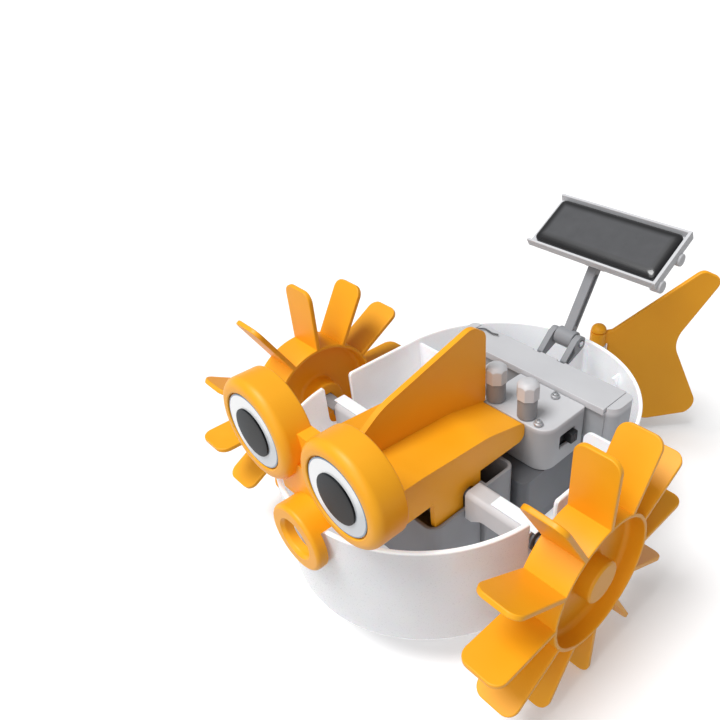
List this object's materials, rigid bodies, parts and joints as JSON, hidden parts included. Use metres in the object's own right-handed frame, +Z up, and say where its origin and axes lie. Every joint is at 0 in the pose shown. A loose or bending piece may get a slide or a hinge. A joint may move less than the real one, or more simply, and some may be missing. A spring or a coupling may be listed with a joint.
{
  "type": "solar paddle-wheel robot kit",
  "caption": "Fish-shaped floating robot with a frosted hull, paddle wheels on a geared axle, a turning tail and a tilting solar panel over the battery box.",
  "frame": {"origin": "bottom centre of the box round the whole model: z=0 is the tip of the blade that points straight down", "axes": "+Z up, the face looks along -Y, +X towards the wheel on the fish's own left side"},
  "size_m": [0.1684, 0.222, 0.1237],
  "materials": {
    "orange_plastic": "smooth semi-gloss moulded plastic",
    "frosted_hull": "milky translucent moulded plastic",
    "grey_plastic": "satin moulded plastic",
    "light_grey_plastic": "satin moulded plastic",
    "black_plastic": "satin",
    "solar_glass": "dark cells under clear resin",
    "eye_white": "smooth printed disc",
    "eye_pupil": "smooth printed disc",
    "gear_plastic": "natural nylon",
    "steel": "bright plated steel",
    "brass": "plain brass",
    "cell_wrap": "shrink sleeve",
    "wire": "insulated wire"
  },
  "bodies": {
    "hull": {"hull_bowl": "frosted_hull", "gear_housing": "grey_plastic", "front_tower": "grey_plastic", "motor_cradle": "grey_plastic", "motor_cover": "light_grey_plastic", "battery_stand": "grey_plastic", "battery_box": "light_grey_plastic", "panel_yoke": "grey_plastic", "axle_sleeve_left": "light_grey_plastic", "axle_sleeve_right": "light_grey_plastic", "axle_clip_left": "frosted_hull", "axle_clip_right": "frosted_hull", "axle_bush_left": "grey_plastic", "axle_bush_right": "grey_plastic", "terminal_post_left": "grey_plastic", "terminal_post_right": "grey_plastic", "post_cap_left": "light_grey_plastic", "post_cap_right": "light_grey_plastic", "cover_screw_front": "steel", "cover_screw_rear": "steel", "motor_can": "steel", "gear_one_pin": "steel", "gear_two_pin": "steel", "aa_battery": "cell_wrap", "battery_spring": "steel", "battery_plate": "brass", "face_mask": "orange_plastic", "back_shell": "orange_plastic", "eye_white_left": "eye_white", "eye_white_right": "eye_white", "pupil_left": "eye_pupil", "pupil_right": "eye_pupil", "arm_hinge_pin": "steel", "tail_pin": "orange_plastic"},
    "lid": {"battery_lid": "light_grey_plastic", "jumper_wire": "wire"},
    "drive_axle": {"axle_rod": "grey_plastic", "axle_gear": "gear_plastic", "paddle_wheel_left": "orange_plastic", "paddle_wheel_right": "orange_plastic"},
    "second_gear": {"gear_two": "gear_plastic"},
    "first_gear": {"gear_one": "gear_plastic"},
    "motor_rotor": {"motor_pinion": "brass"},
    "switch_knob": {"switch_slider": "black_plastic"},
    "tail": {"tail_fin": "orange_plastic"},
    "arm": {"solar_arm": "grey_plastic", "tray_pin": "steel"},
    "panel": {"solar_tray": "grey_plastic", "solar_cell": "solar_glass"}
  },
  "joints": [
    {"name": "axle_spin", "type": "hinge", "parent": "hull", "child": "drive_axle", "pos_m": [0, -0.04904, 0.0528], "axis": [1, 0, 0], "continuous": true},
    {"name": "second_gear_spin", "type": "hinge", "parent": "hull", "child": "second_gear", "pos_m": [-0.013, -0.03375, 0.04584], "axis": [1, 0, 0], "continuous": true},
    {"name": "first_gear_spin", "type": "hinge", "parent": "hull", "child": "first_gear", "pos_m": [-0.008, -0.01622, 0.0475], "axis": [1, 0, 0], "continuous": true},
    {"name": "motor_spin", "type": "hinge", "parent": "hull", "child": "motor_rotor", "pos_m": [-0.005, -0.00204, 0.0565], "axis": [1, 0, 0], "continuous": true},
    {"name": "switch_slide", "type": "slide", "parent": "hull", "child": "switch_knob", "axis": [0, -1, 0], "range_m": [0, 0.0035]},
    {"name": "tail_turn", "type": "hinge", "parent": "hull", "child": "tail", "pos_m": [0, 0.06696, 0.0606], "axis": [0, 0, 1], "range_deg": [-40, 118]},
    {"name": "arm_tilt", "type": "hinge", "parent": "hull", "child": "arm", "pos_m": [0, 0.03996, 0.0736], "axis": [1, 0, 0], "range_deg": [-20, 25]},
    {"name": "panel_tilt", "type": "hinge", "parent": "arm", "child": "panel", "pos_m": [0, 0.05824, 0.10472], "axis": [1, 0, 0], "range_deg": [-30, 15]},
    {"name": "lid_lift", "type": "slide", "parent": "hull", "child": "lid", "axis": [0, 0, 1], "range_m": [0, 0.012]}
  ],
  "couplings": [
    {"joint": "second_gear_spin", "follows": "axle_spin", "ratio": -2.5},
    {"joint": "first_gear_spin", "follows": "axle_spin", "ratio": 6.6667},
    {"joint": "motor_spin", "follows": "axle_spin", "ratio": -16.667}
  ]
}
